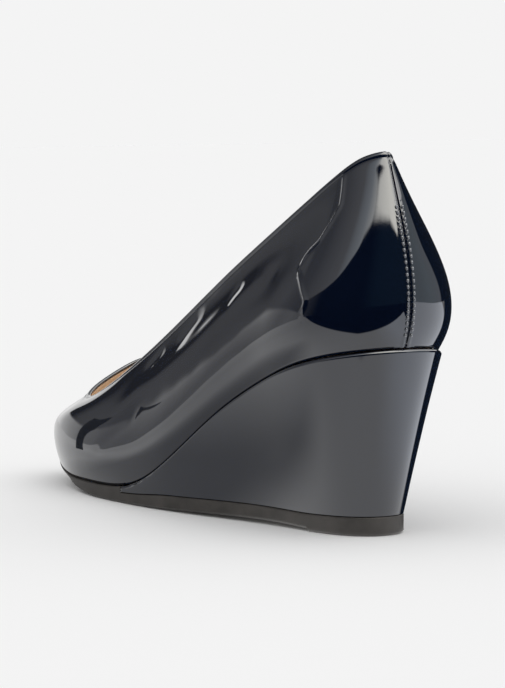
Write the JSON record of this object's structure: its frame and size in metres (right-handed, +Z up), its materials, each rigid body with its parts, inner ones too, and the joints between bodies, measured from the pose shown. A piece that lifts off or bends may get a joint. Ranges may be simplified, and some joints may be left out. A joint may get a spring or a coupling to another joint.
{
  "type": "wedge pump",
  "caption": "Closed-toe slip-on pump on a covered wedge heel with a rubber unit sole, wide low throat and high counter.",
  "frame": {"origin": "middle of the shoe's box, on the floor plane under the heel pad and the forepart", "axes": "+X from the toe to the heel, +Y to the inner side of the foot, +Z up"},
  "size_m": [0.2468, 0.0794, 0.1351],
  "materials": {
    "patent_upper": "patent, mirror gloss",
    "patent_wedge": "patent, high gloss",
    "rubber_sole": "satin, a little scuffed",
    "sock": "matte tan sock"
  },
  "bodies": {
    "root": {"upper": "patent_upper", "wedge": "patent_wedge", "outsole": "rubber_sole", "insole": "sock"}
  },
  "joints": []
}
